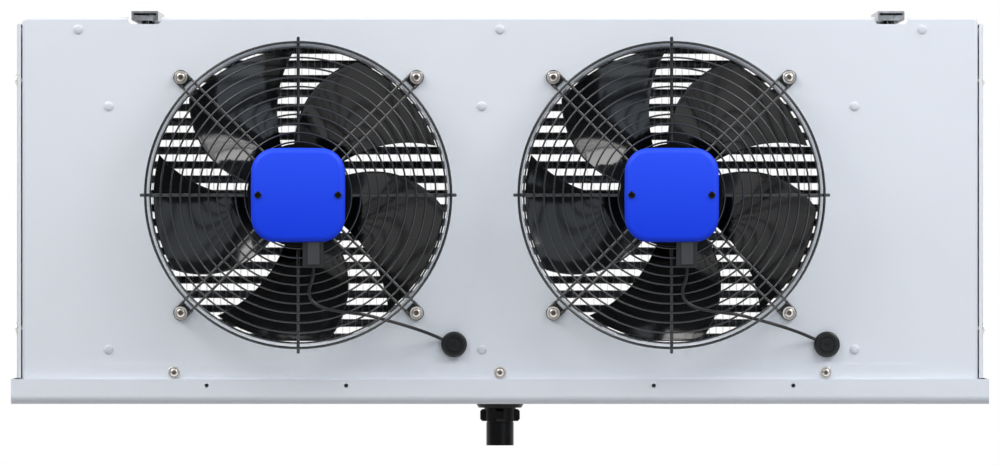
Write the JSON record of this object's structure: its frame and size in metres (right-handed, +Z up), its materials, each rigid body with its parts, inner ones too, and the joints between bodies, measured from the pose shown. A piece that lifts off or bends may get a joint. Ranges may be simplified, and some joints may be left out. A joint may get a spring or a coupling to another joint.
{
  "type": "walk-in unit cooler",
  "caption": "Ceiling-hung evaporator for a cold room: wire-guarded axial fans in a white sheet casing with a finned coil behind and a hinged drain pan",
  "frame": {"origin": "centre of the four ceiling hanging holes, on the top face of the two hanger rails", "axes": "+X to the right as seen from the fans, +Y to the coil's air inlet at the rear, +Z up to the ceiling"},
  "size_m": [1.1741, 0.5, 0.5236],
  "materials": {
    "white_paint": "fine-grained white powder coat",
    "rivet_white": "glossy white",
    "galvanised": "galvanised, dull spangle",
    "stainless": "bright stainless",
    "aluminium_fin": "bright fin stock",
    "dark_tube": "dull dark grey tube",
    "copper": "bare copper",
    "black_plastic": "glossy black moulding",
    "black_wire": "satin black coated wire",
    "black_rubber": "matt black",
    "blue_plastic": "satin blue moulding",
    "grey_plastic": "matt grey",
    "motor_metal": "black coated die casting",
    "magnet": "dark ferrite"
  },
  "bodies": {
    "casing": {"fan_panel": "white_paint", "front_rivets": "rivet_white", "top_panel": "white_paint", "side_cover_left": "white_paint", "side_cover_right": "white_paint", "side_cover_bolts": "stainless", "rear_plate_left": "white_paint", "rear_plate_right": "white_paint", "hanger_rail_left": "galvanised", "hanger_rail_right": "galvanised", "rail_spacers": "black_plastic", "rail_bolts": "stainless", "coil_end_plate_left": "galvanised", "coil_end_plate_right": "galvanised", "fan_divider": "galvanised", "coil_fins": "aluminium_fin", "coil_tubes": "dark_tube", "suction_header": "copper", "liquid_distributor": "copper", "pipe_grommets": "black_rubber", "terminal_box": "grey_plastic", "terminal_box_lid": "grey_plastic", "terminal_strip": "grey_plastic", "rear_sill": "galvanised", "pan_hinge_brackets": "galvanised", "pan_hinge_pins": "stainless", "guard_left": "black_wire", "guard_screws_left": "stainless", "motor_housing_left": "motor_metal", "motor_cap_left": "blue_plastic", "cap_screws_left": "black_plastic", "bearings_left": "stainless", "stator_left": "motor_metal", "cable_connector_left": "grey_plastic", "fan_cable_left": "black_rubber", "cable_grommet_left": "black_rubber", "guard_right": "black_wire", "guard_screws_right": "stainless", "motor_housing_right": "motor_metal", "motor_cap_right": "blue_plastic", "cap_screws_right": "black_plastic", "bearings_right": "stainless", "stator_right": "motor_metal", "cable_connector_right": "grey_plastic", "fan_cable_right": "black_rubber", "cable_grommet_right": "black_rubber"},
    "fan_rotor_left": {"impeller_left": "black_plastic", "rotor_left": "motor_metal", "rotor_magnets_left": "magnet"},
    "fan_rotor_right": {"impeller_right": "black_plastic", "rotor_right": "motor_metal", "rotor_magnets_right": "magnet"},
    "drain_tray": {"drain_pan": "white_paint", "pan_screws": "stainless", "drain_spigot": "black_plastic", "drain_seal": "black_rubber", "drain_washer": "black_rubber", "drain_nut": "black_plastic"}
  },
  "joints": [
    {"name": "fan_spin_left", "type": "hinge", "parent": "casing", "child": "fan_rotor_left", "pos_m": [-0.26335, -0.15, -0.221], "axis": [0, 1, 0], "continuous": true},
    {"name": "fan_spin_right", "type": "hinge", "parent": "casing", "child": "fan_rotor_right", "pos_m": [0.18405, -0.15, -0.221], "axis": [0, 1, 0], "continuous": true},
    {"name": "pan_drop", "type": "hinge", "parent": "casing", "child": "drain_tray", "pos_m": [-0.02155, 0.2065, -0.4472], "axis": [1, 0, 0], "range_deg": [0, 75]}
  ]
}
